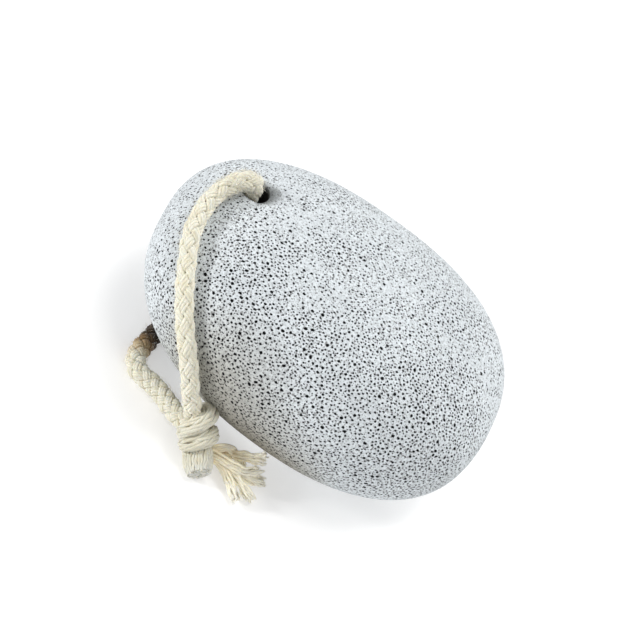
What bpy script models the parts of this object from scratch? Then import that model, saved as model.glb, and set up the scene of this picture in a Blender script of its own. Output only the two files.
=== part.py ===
"""A pumice foot stone on a loop of braided cotton cord, lying on a flat surface.

The stone is one rounded solid, a little narrower at one end, with a small flat on its
underside, pits in its skin and one hole drilled down through its narrow end. The cord goes
up through the hole and over the stone's side to the knot, and from the bottom of the hole
out under the stone's edge and along the surface to the same knot. Past the knot one end is
cut short and the other is frayed.

Units are metres. +Z is up and z = 0 is the surface that the stone lies on. +X points to the
stone's wide end, the knot lies on the -Y side, and the middle of the stone's own box is
over the origin.
"""
import math

import bmesh
import bpy
import numpy as np
from mathutils import Vector

# ---- The stone: a rounded solid about its middle ----
HALF_LENGTH = 0.0500
HALF_WIDTH = 0.0380
HALF_HEIGHT = 0.0220
ROUNDNESS = 2.35                    # exponent of the sections: 2 is an ellipse
WIDTH_GAIN = 0.035                  # share of width gained towards the wide end
HEIGHT_GAIN = 0.020                 # share of thickness gained towards the wide end
NARROW_LIFT = 0.0022                # how far the narrow end is tipped up off the surface
STONE_MIDDLE = (0.0006, 0.0004, 0.0215)

# Broad bulges and hollows: name, direction from the middle, relative height
BULGE_SPREAD = math.radians(34)
BULGES = (
    ("narrow tip", (-1.0, 0.0, 0.2), -0.0175),
    ("narrow shoulder, knot side", (-0.6, -0.75, 0.3), -0.0150),
    ("narrow shoulder, far side", (-0.65, 0.7, 0.2), 0.0350),
    ("knot side", (0.0, -1.0, 0.0), 0.0325),
    ("wide tip", (1.0, 0.0, 0.0), -0.0375),
    ("wide shoulder, far side", (0.6, 0.75, 0.0), 0.0125),
    ("top by the hole", (-0.5, 0.2, 0.85), 0.0175),
    ("top, far side", (0.1, 0.5, 0.8), -0.0300),
    ("underside, knot side", (-0.3, -0.7, -0.65), 0.0325),
    ("underside by the hole", (-0.6, -0.3, -0.7), -0.0325),
)

# ---- Pits in the skin, the largest of the stone's pores ----
PIT_SEED = 11
PIT_TRIES = 2600
PIT_LIMIT = 330
PIT_SPACING = 0.0032
PIT_RADIUS_RANGE = (0.00055, 0.00095)
PIT_DEPTH_SHARE = 1.0               # depth over radius
PIT_SIDES = 6
PIT_LOWEST = 0.0012                 # no pit starts lower than this, so the flat stays whole
SKIN_SPACING = 0.0048               # distance between plain points of the skin
SKIN_CANDIDATES = 9000

# ---- The drilled hole ----
HOLE_CENTRE = (-0.0330, 0.0084)
HOLE_RADIUS = 0.0040
HOLE_SIDES = 28
TOP_MOUTH_HEIGHT = 0.0404
TOP_MOUTH_WEAR = 0.0008             # how far the worn rim of the mouth flares
BOTTOM_MOUTH_HEIGHT = 0.0062
BOTTOM_MOUTH_WEAR = 0.0020
CUTTER_OVERRUN = 0.012

# ---- The cord ----
CORD_DIAMETER = 0.0052
CORD_POINT_SPACING = 0.0025
CORD_BEVEL_RESOLUTION = 2
UPPER_ROUTE = (
    (-0.0332, 0.0083, 0.0220),
    (-0.0332, 0.0083, 0.0270),
    (-0.0332, 0.0083, 0.0320),
    (-0.0332, 0.0083, 0.0363),
    (-0.0334, 0.0081, 0.0395),
    (-0.0341, 0.0073, 0.0422),
    (-0.0355, 0.0058, 0.0436),
    (-0.0372, 0.0038, 0.0438),
    (-0.0388, 0.0016, 0.0431),
    (-0.0401, -0.0012, 0.0421),
    (-0.0409, -0.0042, 0.0411),
    (-0.0412, -0.0072, 0.0403),
    (-0.0411, -0.0102, 0.0396),
    (-0.0408, -0.0136, 0.0388),
    (-0.0398, -0.0175, 0.0381),
    (-0.0379, -0.0221, 0.0368),
    (-0.0358, -0.0264, 0.0350),
    (-0.0334, -0.0300, 0.0328),
    (-0.0308, -0.0330, 0.0302),
    (-0.0279, -0.0354, 0.0274),
    (-0.0251, -0.0371, 0.0243),
    (-0.0225, -0.0383, 0.0209),
    (-0.0203, -0.0389, 0.0172),
    (-0.0181, -0.0391, 0.0136),
    (-0.0174, -0.0391, 0.0125),
)
LOWER_ROUTE = (
    (-0.0332, 0.0083, 0.0215),
    (-0.0332, 0.0082, 0.0175),
    (-0.0333, 0.0081, 0.0130),
    (-0.0335, 0.0077, 0.0090),
    (-0.0338, 0.0060, 0.0050),
    (-0.0341, 0.0018, 0.0029),
    (-0.0340, -0.0040, 0.0027),
    (-0.0339, -0.0100, 0.0027),
    (-0.0343, -0.0160, 0.0027),
    (-0.0348, -0.0195, 0.0027),
    (-0.0353, -0.0231, 0.0027),
    (-0.0350, -0.0261, 0.0027),
    (-0.0336, -0.0286, 0.0028),
    (-0.0315, -0.0300, 0.0030),
    (-0.0287, -0.0308, 0.0034),
    (-0.0257, -0.0323, 0.0039),
    (-0.0228, -0.0343, 0.0045),
    (-0.0195, -0.0369, 0.0055),
)

# ---- The knot: two slanting wraps about a core ----
KNOT_MIDDLE = (-0.0139, -0.0396, 0.0070)
KNOT_AXIS = (-0.55, 0.42, 0.72)     # along the core, from the free ends to the loop
WRAP_RADIUS = 0.0029                # middle of the cord to the core's axis
WRAP_THICKNESS = 0.0025             # half the cord's own thickness
WRAP_RISE = 0.0021                  # each wrap's height above or below the middle
WRAP_TILT = math.radians(20)
CORE_RADIUS = 0.0030
CORE_HALF_LENGTH = 0.0052
ROUND_SIDES = 16

# ---- The two ends past the knot: stations of (middle, half width, half thickness) ----
CUT_END = (
    ((-0.0104, -0.0439, 0.0031), 0.0027, 0.0024),
    ((-0.0098, -0.0448, 0.0030), 0.0030, 0.0026),
    ((-0.0088, -0.0461, 0.0028), 0.0029, 0.0024),
    ((-0.0079, -0.0474, 0.0026), 0.0024, 0.0022),
)
FRAYED_ROOT = ((-0.0072, -0.0396, 0.0036), 0.0022, 0.0020)
FRAYED_BUNDLES = (
    ("upper", (
        ((-0.0042, -0.0386, 0.0052), 0.0024, 0.0016),
        ((-0.0008, -0.0376, 0.0066), 0.0023, 0.0014),
        ((0.0027, -0.0369, 0.0078), 0.0022, 0.0011),
        ((0.0052, -0.0366, 0.0085), 0.0018, 0.0009),
    )),
    ("middle", (
        ((-0.0036, -0.0390, 0.0036), 0.0022, 0.0018),
        ((0.0015, -0.0384, 0.0029), 0.0022, 0.0016),
        ((0.0060, -0.0377, 0.0022), 0.0020, 0.0014),
        ((0.0083, -0.0374, 0.0019), 0.0015, 0.0012),
    )),
    ("lower", (
        ((-0.0040, -0.0412, 0.0026), 0.0021, 0.0018),
        ((0.0004, -0.0434, 0.0019), 0.0024, 0.0014),
        ((0.0045, -0.0453, 0.0015), 0.0026, 0.0011),
        ((0.0062, -0.0461, 0.0013), 0.0023, 0.0009),
    )),
)
LOFT_SIDES = 12

# ---- Colours, as linear red, green and blue ----
PUMICE_GREY = (0.60, 0.62, 0.63)
COTTON_CREAM = (0.76, 0.70, 0.55)


def clear_scene():
    for item in list(bpy.data.objects):
        bpy.data.objects.remove(item, do_unlink=True)


def make_material(name, colour, roughness):
    material = bpy.data.materials.new(name)
    material.use_nodes = True
    shader = material.node_tree.nodes["Principled BSDF"]
    shader.inputs["Base Color"].default_value = (*colour, 1.0)
    shader.inputs["Roughness"].default_value = roughness
    shader.inputs["Metallic"].default_value = 0.0
    return material


def add_object(name, data, material):
    item = bpy.data.objects.new(name, data)
    bpy.context.collection.objects.link(item)
    data.materials.append(material)
    return item


def mesh_from_bmesh(name, shape):
    bmesh.ops.recalc_face_normals(shape, faces=shape.faces)
    mesh = bpy.data.meshes.new(name)
    shape.to_mesh(mesh)
    shape.free()
    mesh.shade_smooth()
    mesh.set_sharp_from_angle(angle=math.radians(40))
    return mesh


def boolean(item, cutter, operation):
    cutter.hide_render = True
    cutter.display_type = "WIRE"
    modifier = item.modifiers.new(cutter.name, "BOOLEAN")
    modifier.operation = operation
    modifier.solver = "EXACT"
    modifier.object = cutter


# ---------------------------------------------------------------- the stone

def unit(vectors):
    return vectors / np.linalg.norm(vectors, axis=-1, keepdims=True)


def skin_point(directions):
    """Point of the stone's skin in each direction from its middle, before the flat is made."""
    u = unit(directions)
    plan = np.abs(u[:, 0]) ** ROUNDNESS + np.abs(u[:, 1]) ** ROUNDNESS
    reach = (plan + np.abs(u[:, 2]) ** ROUNDNESS) ** (-1.0 / ROUNDNESS)
    for _name, towards, height in BULGES:
        cosine = np.clip(u @ unit(np.array(towards)), -1.0, 1.0)
        reach = reach + height * np.exp(-0.5 * (np.arccos(cosine) / BULGE_SPREAD) ** 2)
    x, y, z = (u * reach[:, None]).T
    skin = np.stack([
        HALF_LENGTH * x,
        HALF_WIDTH * y * (1.0 + WIDTH_GAIN * x),
        HALF_HEIGHT * z * (1.0 + HEIGHT_GAIN * x) - NARROW_LIFT * x,
    ], axis=1)
    return skin + np.array(STONE_MIDDLE)


def tangent_frame(directions):
    """Two steps across each direction, how the skin moves along them, and its normal."""
    step = 1e-4
    helper = np.where(np.abs(directions[:, 2:]) < 0.8, [[0.0, 0.0, 1.0]], [[1.0, 0.0, 0.0]])
    first = unit(np.cross(helper, directions))
    second = np.cross(directions, first)
    here = skin_point(directions)
    along_first = (skin_point(directions + step * first) - here) / step
    along_second = (skin_point(directions + step * second) - here) / step
    normal = unit(np.cross(along_first, along_second))
    return first, second, along_first, along_second, normal


def keeps_off_hole(points, clearance):
    gap = np.hypot(points[:, 0] - HOLE_CENTRE[0], points[:, 1] - HOLE_CENTRE[1])
    return gap > HOLE_RADIUS + clearance


def scatter_pits(random):
    """Directions and radii of the pits, thrown at random and kept apart."""
    directions = unit(random.normal(size=(PIT_TRIES, 3)))
    radii = random.uniform(*PIT_RADIUS_RANGE, size=PIT_TRIES)
    points = skin_point(directions)
    allowed = keeps_off_hole(points, 0.0030) & (points[:, 2] > PIT_LOWEST)
    chosen = []
    for index in np.flatnonzero(allowed):
        gaps = np.linalg.norm(points[chosen] - points[index], axis=1)
        if len(chosen) == 0 or gaps.min() > PIT_SPACING:
            chosen.append(index)
        if len(chosen) == PIT_LIMIT:
            break
    return directions[chosen], radii[chosen]


def pit_rims(directions, radii):
    """Directions of the points around each pit's rim, a circle of its radius on the skin."""
    first, second, along_first, along_second, _normal = tangent_frame(directions)
    axis_a = unit(along_first)
    axis_b = unit(along_second - (along_second * axis_a).sum(1, keepdims=True) * axis_a)
    rims = []
    for side in range(PIT_SIDES):
        angle = 2.0 * math.pi * side / PIT_SIDES
        offset = radii[:, None] * (math.cos(angle) * axis_a + math.sin(angle) * axis_b)
        share_b = (offset * axis_b).sum(1) / (along_second * axis_b).sum(1)
        share_a = ((offset * axis_a).sum(1) - share_b * (along_second * axis_a).sum(1)) \
            / np.linalg.norm(along_first, axis=1)
        rims.append(unit(directions + share_a[:, None] * first + share_b[:, None] * second))
    return np.concatenate(rims)


def plain_skin(random, pits, radii):
    """Directions of evenly spread plain points that stay clear of the pits."""
    pit_points = skin_point(pits)
    candidates = unit(random.normal(size=(SKIN_CANDIDATES, 3)))
    points = skin_point(candidates)
    chosen = []
    for index, point in enumerate(points):
        off_pits = np.linalg.norm(pit_points - point, axis=1) - 1.7 * radii
        gaps = np.linalg.norm(points[chosen] - point, axis=1)
        if off_pits.min() > 0.0 and (len(chosen) == 0 or gaps.min() > SKIN_SPACING):
            chosen.append(index)
    return candidates[chosen]


def make_pitted_skin(name):
    """The closed skin: every point is joined up on a plain ellipsoid, then set in place."""
    random = np.random.default_rng(PIT_SEED)
    pits, radii = scatter_pits(random)
    rims = pit_rims(pits, radii)
    plain = plain_skin(random, pits, radii)
    directions = np.concatenate([pits, rims, plain])

    places = skin_point(directions)
    normals = tangent_frame(pits)[4]
    places[:len(pits)] -= normals * (radii * PIT_DEPTH_SHARE)[:, None]
    places[:, 2] = np.maximum(places[:, 2], 0.0)

    shape = bmesh.new()
    ellipsoid = directions * np.array([HALF_LENGTH, HALF_WIDTH, HALF_HEIGHT])
    vertices = [shape.verts.new(point) for point in ellipsoid]
    bmesh.ops.convex_hull(shape, input=vertices)
    for vertex, place in zip(vertices, places):
        vertex.co = place
    return mesh_from_bmesh(name, shape)


def make_hole_cutter():
    """A drill with a flare at each mouth, where the rims of the hole are worn."""
    profile = (
        (BOTTOM_MOUTH_HEIGHT - CUTTER_OVERRUN, BOTTOM_MOUTH_WEAR + CUTTER_OVERRUN),
        (BOTTOM_MOUTH_HEIGHT + BOTTOM_MOUTH_WEAR, 0.0),
        (TOP_MOUTH_HEIGHT - TOP_MOUTH_WEAR, 0.0),
        (TOP_MOUTH_HEIGHT + CUTTER_OVERRUN, TOP_MOUTH_WEAR + CUTTER_OVERRUN),
    )
    shape = bmesh.new()
    rings = []
    for height, flare in profile:
        ring = []
        for side in range(HOLE_SIDES):
            angle = 2.0 * math.pi * side / HOLE_SIDES
            reach = HOLE_RADIUS + flare
            ring.append(shape.verts.new((
                HOLE_CENTRE[0] + reach * math.cos(angle),
                HOLE_CENTRE[1] + reach * math.sin(angle),
                height,
            )))
        rings.append(ring)
    skin_rings(shape, rings)
    mesh = mesh_from_bmesh("hole_cutter", shape)
    cutter = bpy.data.objects.new("hole_cutter", mesh)
    bpy.context.collection.objects.link(cutter)
    return cutter


def skin_rings(shape, rings):
    """Faces between rings of equal size, and a cap on each end."""
    count = len(rings[0])
    for low, high in zip(rings, rings[1:]):
        for side in range(count):
            after = (side + 1) % count
            shape.faces.new((low[side], low[after], high[after], high[side]))
    shape.faces.new(list(reversed(rings[0])))
    shape.faces.new(rings[-1])


def make_stone(material):
    stone = add_object("pumice_stone", make_pitted_skin("pumice_stone"), material)
    boolean(stone, make_hole_cutter(), "DIFFERENCE")


# ---------------------------------------------------------------- the cord

def smooth_route(points, spacing):
    """Points read at an even spacing from a smooth curve through the given ones."""
    knots = [Vector(point) for point in points]
    padded = [2 * knots[0] - knots[1], *knots, 2 * knots[-1] - knots[-2]]
    fine = []
    for before, start, end, after in zip(padded, padded[1:], padded[2:], padded[3:]):
        for step in range(12):
            t = step / 12
            fine.append(0.5 * (
                2 * start
                + (end - before) * t
                + (2 * before - 5 * start + 4 * end - after) * t ** 2
                + (3 * start - before - 3 * end + after) * t ** 3
            ))
    fine.append(knots[-1])
    lengths = [0.0]
    for here, there in zip(fine, fine[1:]):
        lengths.append(lengths[-1] + (there - here).length)
    count = round(lengths[-1] / spacing)
    wanted = [lengths[-1] * index / count for index in range(count + 1)]
    columns = [np.interp(wanted, lengths, [point[axis] for point in fine]) for axis in range(3)]
    return [Vector(point) for point in zip(*columns)]


def make_cord(name, route, material):
    curve = bpy.data.curves.new(name, "CURVE")
    curve.dimensions = "3D"
    curve.bevel_depth = CORD_DIAMETER / 2
    curve.bevel_resolution = CORD_BEVEL_RESOLUTION
    curve.use_fill_caps = True
    points = smooth_route(route, CORD_POINT_SPACING)
    spline = curve.splines.new("POLY")
    spline.points.add(len(points) - 1)
    for spot, point in zip(spline.points, points):
        spot.co = (*point, 1.0)
    spline.use_smooth = True
    add_object(name, curve, material)


def turned_to(axis, middle, shape):
    """Turn a shape built about +Z to the axis, and set it at its middle."""
    turn = Vector((0.0, 0.0, 1.0)).rotation_difference(Vector(axis)).to_matrix().to_4x4()
    bmesh.ops.transform(shape, matrix=turn, verts=shape.verts)
    bmesh.ops.translate(shape, vec=Vector(middle), verts=shape.verts)


def wrap_mesh(name, rise, tilt):
    """One turn of cord about the core, as a ring that slants across it."""
    shape = bmesh.new()
    loops = []
    for turn in range(2 * ROUND_SIDES):
        around = math.pi * turn / ROUND_SIDES
        loop = []
        for side in range(ROUND_SIDES // 2 + 2):
            angle = 2.0 * math.pi * side / (ROUND_SIDES // 2 + 2)
            reach = WRAP_RADIUS + WRAP_THICKNESS * math.cos(angle)
            height = rise + WRAP_THICKNESS * math.sin(angle)
            height += math.tan(tilt) * WRAP_RADIUS * math.cos(around)
            loop.append(shape.verts.new((
                reach * math.cos(around),
                reach * math.sin(around),
                height,
            )))
        loops.append(loop)
    for loop, following in zip(loops, loops[1:] + loops[:1]):
        for side in range(len(loop)):
            after = (side + 1) % len(loop)
            shape.faces.new((loop[side], loop[after], following[after], following[side]))
    turned_to(KNOT_AXIS, KNOT_MIDDLE, shape)
    return mesh_from_bmesh(name, shape)


def core_mesh(name):
    """The cord inside the wraps, a short rod with domed ends."""
    shape = bmesh.new()
    bmesh.ops.create_uvsphere(shape, u_segments=ROUND_SIDES, v_segments=10, radius=CORE_RADIUS)
    for vertex in shape.verts:
        vertex.co.z += math.copysign(CORE_HALF_LENGTH - CORE_RADIUS, vertex.co.z)
    turned_to(KNOT_AXIS, KNOT_MIDDLE, shape)
    return mesh_from_bmesh(name, shape)


def make_knot(material):
    knot = add_object("knot", core_mesh("knot"), material)
    for name, rise in (("upper_wrap", WRAP_RISE), ("lower_wrap", -WRAP_RISE)):
        wrap = add_object(name, wrap_mesh(name, rise, WRAP_TILT), material)
        boolean(knot, wrap, "UNION")


def loft(name, stations):
    """A closed solid through oval stations, wide across the surface and thin upwards."""
    middles = [Vector(station[0]) for station in stations]
    shape = bmesh.new()
    rings = []
    for index, (middle, half_width, half_thickness) in enumerate(stations):
        ahead = middles[min(index + 1, len(middles) - 1)] - middles[max(index - 1, 0)]
        across = ahead.cross(Vector((0.0, 0.0, 1.0))).normalized()
        upwards = across.cross(ahead).normalized()
        ring = []
        for side in range(LOFT_SIDES):
            angle = 2.0 * math.pi * side / LOFT_SIDES
            offset = across * half_width * math.cos(angle)
            offset += upwards * half_thickness * math.sin(angle)
            ring.append(shape.verts.new(Vector(middle) + offset))
        rings.append(ring)
    skin_rings(shape, rings)
    return mesh_from_bmesh(name, shape)


def make_frayed_end(material):
    first, *others = FRAYED_BUNDLES
    frayed = add_object("frayed_end", loft("frayed_end", (FRAYED_ROOT, *first[1])), material)
    for name, stations in others:
        bundle = add_object(name + "_bundle", loft(name, (FRAYED_ROOT, *stations)), material)
        boolean(frayed, bundle, "UNION")


def main():
    clear_scene()
    pumice = make_material("pumice", PUMICE_GREY, 0.95)
    cotton = make_material("cotton", COTTON_CREAM, 0.90)
    make_stone(pumice)
    make_cord("upper_cord", UPPER_ROUTE, cotton)
    make_cord("lower_cord", LOWER_ROUTE, cotton)
    make_knot(cotton)
    add_object("cut_end", loft("cut_end", CUT_END), cotton)
    make_frayed_end(cotton)


main()
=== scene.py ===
"""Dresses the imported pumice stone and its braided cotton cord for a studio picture.

The stone gets its pores as geometry, with the drilled hole cut through. The cord is a true
braid of eight carriers of three yarns each, laid along the same routes as the solids, and
the knot, the cut end and the frayed end are made of the same yarns.

Units are metres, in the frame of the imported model.
"""
import itertools
import math

import bpy
import numpy as np
from mathutils import Matrix, Vector, geometry


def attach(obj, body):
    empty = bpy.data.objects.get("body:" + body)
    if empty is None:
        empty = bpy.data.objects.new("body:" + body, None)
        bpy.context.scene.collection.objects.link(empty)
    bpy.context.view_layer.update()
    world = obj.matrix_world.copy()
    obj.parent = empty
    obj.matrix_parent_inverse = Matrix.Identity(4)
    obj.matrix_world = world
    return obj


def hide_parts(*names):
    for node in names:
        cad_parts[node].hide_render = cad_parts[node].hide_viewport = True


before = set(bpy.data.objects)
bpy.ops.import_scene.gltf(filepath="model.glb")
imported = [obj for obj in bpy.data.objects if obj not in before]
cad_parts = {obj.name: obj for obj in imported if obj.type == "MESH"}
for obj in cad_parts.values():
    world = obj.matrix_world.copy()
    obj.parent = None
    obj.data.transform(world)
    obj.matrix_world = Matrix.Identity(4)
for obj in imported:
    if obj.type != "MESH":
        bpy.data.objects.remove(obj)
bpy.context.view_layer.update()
MM = 0.001

# ---- Where each piece's random numbers start ----
PORE_SEED = 5
UPPER_SEED = 21
LOWER_SEED = 22
KNOT_SEED = 23
STUB_SEED = 24
FRAY_SEED = 25
FUZZ_SEED = 26

# ---- Camera: the photograph's angle, turned about its own line of sight ----
IMAGE_WIDTH = 640
SENSOR_WIDTH = 36.0
CAMERA_DISTANCE = 0.700
CAMERA_ELEVATION = math.radians(44.0)
CAMERA_TURN = math.radians(5.6)
CAMERA_ROLL = math.radians(37.0)
PIXELS_PER_METRE = 4033.0
STONE_MIDDLE_PIXEL = (326.85, 327.36)

# ---- The stone's own form, as in its solid ----
HALF_LENGTH = 0.0500
HALF_WIDTH = 0.0380
HALF_HEIGHT = 0.0220
ROUNDNESS = 2.35
WIDTH_GAIN = 0.035
HEIGHT_GAIN = 0.020
NARROW_LIFT = 0.0022
STONE_MIDDLE = (0.0006, 0.0004, 0.0215)
BULGE_SPREAD = math.radians(34)
BULGES = (
    ("narrow tip", (-1.0, 0.0, 0.2), -0.0175),
    ("narrow shoulder, knot side", (-0.6, -0.75, 0.3), -0.0150),
    ("narrow shoulder, far side", (-0.65, 0.7, 0.2), 0.0350),
    ("knot side", (0.0, -1.0, 0.0), 0.0325),
    ("wide tip", (1.0, 0.0, 0.0), -0.0375),
    ("wide shoulder, far side", (0.6, 0.75, 0.0), 0.0125),
    ("top by the hole", (-0.5, 0.2, 0.85), 0.0175),
    ("top, far side", (0.1, 0.5, 0.8), -0.0300),
    ("underside, knot side", (-0.3, -0.7, -0.65), 0.0325),
    ("underside by the hole", (-0.6, -0.3, -0.7), -0.0325),
)

# ---- Pores ----
PORE_SIZES = (
    # how many, smallest and largest radius, how many tries
    (900, 0.40 * MM, 0.52 * MM, 2300),
    (6900, 0.30 * MM, 0.40 * MM, 27000),
    (7700, 0.20 * MM, 0.30 * MM, 30000),
    # and plain points, where the skin stays whole
    (30000, 0.0, 0.0, 30000),
)
PLAIN_SPACING = 1.15 * MM  # between plain points
POLE_CLEAR = -0.9995  # least z of a direction, which keeps the pole free
CELL = 2.0 * MM  # pores are sorted by place into cells of this size
ROOM_SHARE = 1.05  # middles keep this much of both radii between them
PORE_WALL = 0.05 * MM  # and this much more
STRETCH = 0.34  # most by which a pore is longer than wide, as a share
RAGGED = (0.88, 1.10)  # its rim reaches between these shares of its radius
CRUMBLE = 0.015 * MM  # and stands off the skin by about this much
RIM_LIMIT = 0.46  # most of the way to a neighbour of the same size
DEPTH = (0.9, 1.5)  # how deep a pore is, in radii
BOWL_RADIUS = 0.40 * MM  # pores wider than this get a steep wall and a floor
BOWL_FOOT = 0.72  # how wide and how deep the foot of that wall is
BOWL_FOOT_SHADE = 0.85  # painted shade there, where 1 is the painted shade of a pore's floor
FULL_SHADE_FROM = 0.24  # from this much painted shade on the material is as dark as it gets

SMALL_PORE = 0.25 * MM  # a size that starts below this lies all over the stone
LARGE_WISH = (0.13, 1.3)  # share of tries kept in fine places, and more in coarse
SMALL_WISH = (0.26, 1.0)
SMALL_RIPPLE = (0.18, 2.4 * MM)  # strength and size of the small pores' unevenness
COARSE_RIPPLE = (0.12, 6.0 * MM)
COARSE_REACH = 0.0145  # how far the large pores spread from these places
COARSE_PLACES = (
    (-0.018, -0.031, 0.034),
    (-0.002, -0.035, 0.032),
    (0.014, -0.033, 0.034),
    (0.028, -0.024, 0.035),
    (0.030, 0.022, 0.008),
    (-0.010, 0.012, 0.002),
)

# ---- Pumice: its skin, darker and lighter, the painted shade in its pores, and a brownish painted shade low on the knot's side ----
SKIN_COLOURS = ((0.66, 0.70, 0.725), (0.765, 0.81, 0.838))
# the next two colours are painted shade: the dark of pores too small for the mesh, and the near
# black of a pore's floor
FINE_PORE_SHADE_COLOUR = (0.12, 0.115, 0.11, 1.0)
PORE_SHADE_COLOUR = (0.018, 0.018, 0.019, 1.0)
UNDERSIDE_SHADE_COLOUR = (0.62, 0.58, 0.51)
UNDERSIDE_SHADES = (
    # middle and reach of the brownish painted shade low on the knot's side, where the underside
    # turns from the light
    ((-0.018, -0.040, 0.018), 0.026),
    ((0.002, -0.040, 0.008), 0.022),
    ((-0.005, -0.041, 0.007), 0.014),
    ((0.009, -0.040, 0.006), 0.014),
)

# ---- The drilled hole ----
HOLE_CENTRE = (-0.0330, 0.0084)
HOLE_RADIUS = 0.0040
HOLE_SIDES = 72
TOP_MOUTH_HEIGHT = 0.0404
TOP_MOUTH_WEAR = 0.0008
BOTTOM_MOUTH_HEIGHT = 0.0062
BOTTOM_MOUTH_WEAR = 0.0020
CUTTER_OVERRUN = 0.012
HOLE_LOBES = 5  # it is a little out of round
HOLE_WOBBLE = 0.012
HOLE_SHADE = 0.30  # painted shade on its wall, which makes it dark
HOLE_SHADE_DEPTH = 0.0018  # from this far in
WALL_MARGIN = 1.05  # points up to this share of its radius are on the wall
SHARP_EDGE = math.radians(38)

# ---- The cord's routes, as in its solids ----
UPPER_ROUTE = (
    (-0.0332, 0.0083, 0.0220),
    (-0.0332, 0.0083, 0.0270),
    (-0.0332, 0.0083, 0.0320),
    (-0.0332, 0.0083, 0.0363),
    (-0.0334, 0.0081, 0.0395),
    (-0.0341, 0.0073, 0.0422),
    (-0.0355, 0.0058, 0.0436),
    (-0.0372, 0.0038, 0.0438),
    (-0.0388, 0.0016, 0.0431),
    (-0.0401, -0.0012, 0.0421),
    (-0.0409, -0.0042, 0.0411),
    (-0.0412, -0.0072, 0.0403),
    (-0.0411, -0.0102, 0.0396),
    (-0.0408, -0.0136, 0.0388),
    (-0.0398, -0.0175, 0.0381),
    (-0.0379, -0.0221, 0.0368),
    (-0.0358, -0.0264, 0.0350),
    (-0.0334, -0.0300, 0.0328),
    (-0.0308, -0.0330, 0.0302),
    (-0.0279, -0.0354, 0.0274),
    (-0.0251, -0.0371, 0.0243),
    (-0.0225, -0.0383, 0.0209),
    (-0.0203, -0.0389, 0.0172),
    (-0.0181, -0.0391, 0.0136),
    (-0.0174, -0.0391, 0.0125),
)
LOWER_ROUTE = (
    (-0.0332, 0.0083, 0.0215),
    (-0.0332, 0.0082, 0.0175),
    (-0.0333, 0.0081, 0.0130),
    (-0.0335, 0.0077, 0.0090),
    (-0.0338, 0.0060, 0.0050),
    (-0.0341, 0.0018, 0.0029),
    (-0.0340, -0.0040, 0.0027),
    (-0.0339, -0.0100, 0.0027),
    (-0.0343, -0.0160, 0.0027),
    (-0.0348, -0.0195, 0.0027),
    (-0.0353, -0.0231, 0.0027),
    (-0.0350, -0.0261, 0.0027),
    (-0.0336, -0.0286, 0.0028),
    (-0.0315, -0.0300, 0.0030),
    (-0.0287, -0.0308, 0.0034),
    (-0.0257, -0.0323, 0.0039),
    (-0.0228, -0.0343, 0.0045),
    (-0.0195, -0.0369, 0.0055),
)

UPPER_TUCK = ((-0.0166, -0.0393, 0.0108),)  # where each strand goes into the knot
LOWER_TUCK = ((-0.0170, -0.0385, 0.0068), (-0.0150, -0.0392, 0.0080))
UNDER_STONE_SHADE_FROM = 0.0190  # painted shadow of the stone: the lower strand is dark by the stone, up to this far out
UNDER_STONE_SHADE_TO = 0.0270

# ---- The braid ----
CARRIERS = 4  # in each direction
YARNS = 3  # side by side in a carrier
CARRIER_FILL = 0.75  # how much of its share of the way round a carrier fills
CARRIER_DRIFT = (5, 0.05)  # waves along it, and how far they sway it, in radians
CARRIER_LIFT = (9, 0.08 * MM)  # and how far they raise it
YARN_DRIFT = (14, 0.03)
YARN_LIFT = (12, 0.035 * MM)
OUTER_YARN_DROP = 0.10 * MM  # below the middle yarn of its carrier
WEAVE_SOFTNESS = 0.30  # less makes a steeper step from over to under
WEAVE_GAIN = 1.14  # brings the crests back to about 1
YARN_RADIUS = 0.46 * MM
YARN_SIDES = 6
YARN_TWIST = 900.0  # of its fibres about it, in radians a metre
SEEDS = 90  # each yarn's streaks start from one of this many places
STEP = 0.36 * MM  # between points along a yarn
FILLING_SIDES = 10  # of the plain core that fills a braid
START_SIDE = (0.3, 0.5, 0.8)  # where the way round a cord is counted from
FLOOR_TOUCH = 0.05 * MM
PLAIN_PALENESS = 0.5  # a yarn's paleness with no painted shade, between 0 for the darkest painted shade and 1 for the palest ends

# ---- The two strands ----
UPPER_HALF = (2.55 * MM, 2.45 * MM)  # half width and half thickness
UPPER_LAY = 314.0  # how far the carriers turn, in radians a metre
UPPER_WEAVE = 0.42 * MM  # how far they rise and fall
UPPER_FILLING = 1.45 * MM  # radius of the plain core
LOWER_HALF = 2.55 * MM
LOWER_SPREAD = (0.42 * MM, 0.12 * MM)  # how much looser it is out from the stone
LOWER_LAY = 500.0
LOWER_WEAVE = 0.50 * MM
LOWER_FILLING = 1.4 * MM
LOWER_FILLING_SPREAD = 0.2 * MM
OUT_FROM = 0.013  # how far across it starts to loosen
OUT_OVER = 0.008  # and over what way

# ---- The knot and the two ends ----
KNOT_AXIS = (-0.55, 0.42, 0.72)
KNOT_LOOK = (-0.0135, -0.0399, 0.0082)  # middle of the wraps as seen
KNOT_DEPTH = 0.95  # of its width
KNOT_HALF = (2.25 * MM, 2.35 * MM)
KNOT_LAY = 120.0
KNOT_WEAVE = 0.34 * MM
KNOT_YARN_RADIUS = 0.48 * MM
KNOT_FILLING = 1.3 * MM
CORE_ENDS = (-4.6 * MM, 4.4 * MM)  # the strands' run through the wraps, along the axis
CORE_HALF = (2.8 * MM, 2.6 * MM)
CORE_LAY = 100.0
CORE_WEAVE = 0.28 * MM
CORE_FILLING = 2.0 * MM
KNOT_TURNS = (
    # turns about the axis from the picture's right, rise along it, reach from it, both in mm
    (-0.40, 2.4, 1.2),
    (-0.20, 4.0, 2.9),
    (0.00, 4.3, 3.4),
    (0.25, 1.9, 3.4),
    (0.50, -0.9, 3.4),
    (0.75, -1.4, 3.2),
    (1.00, -0.8, 3.6),
    (1.25, -2.3, 3.3),
    (1.50, -3.5, 3.2),
    (1.70, -3.8, 2.2),
    (1.85, -3.6, 1.2),
)
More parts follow.
